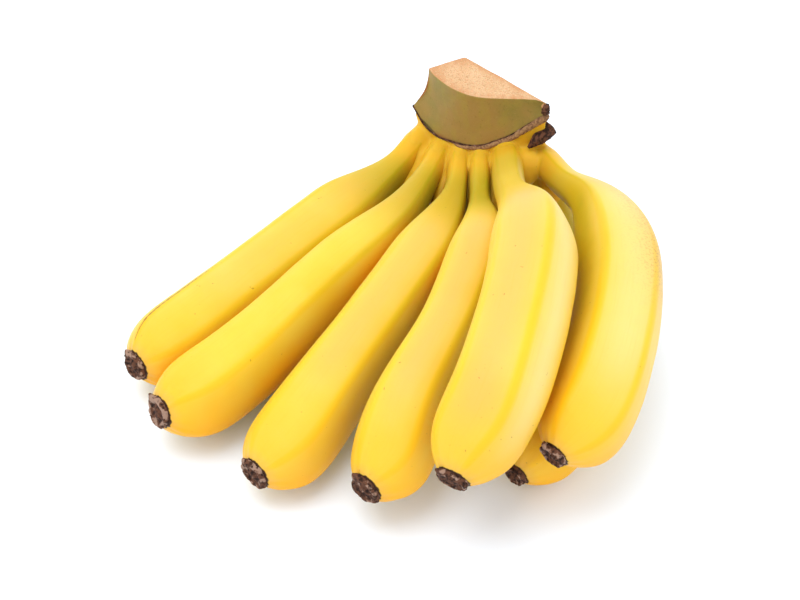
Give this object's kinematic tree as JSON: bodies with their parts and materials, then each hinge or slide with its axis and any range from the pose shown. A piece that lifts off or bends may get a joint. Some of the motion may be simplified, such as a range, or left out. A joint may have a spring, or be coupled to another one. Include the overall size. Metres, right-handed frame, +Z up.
{
  "type": "bunch of bananas",
  "caption": "A ripe hand of curved bananas joined by their stalks at a cut crown, lying hollow side down with the dark blossom ends splayed towards the front",
  "frame": {"origin": "middle of the bounding box on the resting surface", "axes": "+Y from the blossom ends to the crown, +Z up, +X to the right when seen from the blossom ends"},
  "size_m": [0.2224, 0.2446, 0.0949],
  "materials": {
    "peel": "smooth waxy ripe peel, soft sheen, greener near the stalk and along the ridges",
    "cushion": "satin yellow peel of the shared crown, creased between the stalks, with a corky ledge",
    "rind": "dull olive rind with a pale fibrous cut face on top",
    "dried": "matt, dried dark brown blossom remains and stalk stump"
  },
  "bodies": {
    "root": {"crown_cushion": "cushion", "crown_rind": "rind", "stalk_stump": "dried", "banana_1": "peel", "banana_2": "peel", "banana_3": "peel", "banana_4": "peel", "banana_5": "peel", "banana_6": "peel", "banana_7": "peel", "banana_1_tip": "dried", "banana_2_tip": "dried", "banana_3_tip": "dried", "banana_4_tip": "dried", "banana_5_tip": "dried", "banana_6_tip": "dried", "banana_7_tip": "dried"}
  },
  "joints": []
}
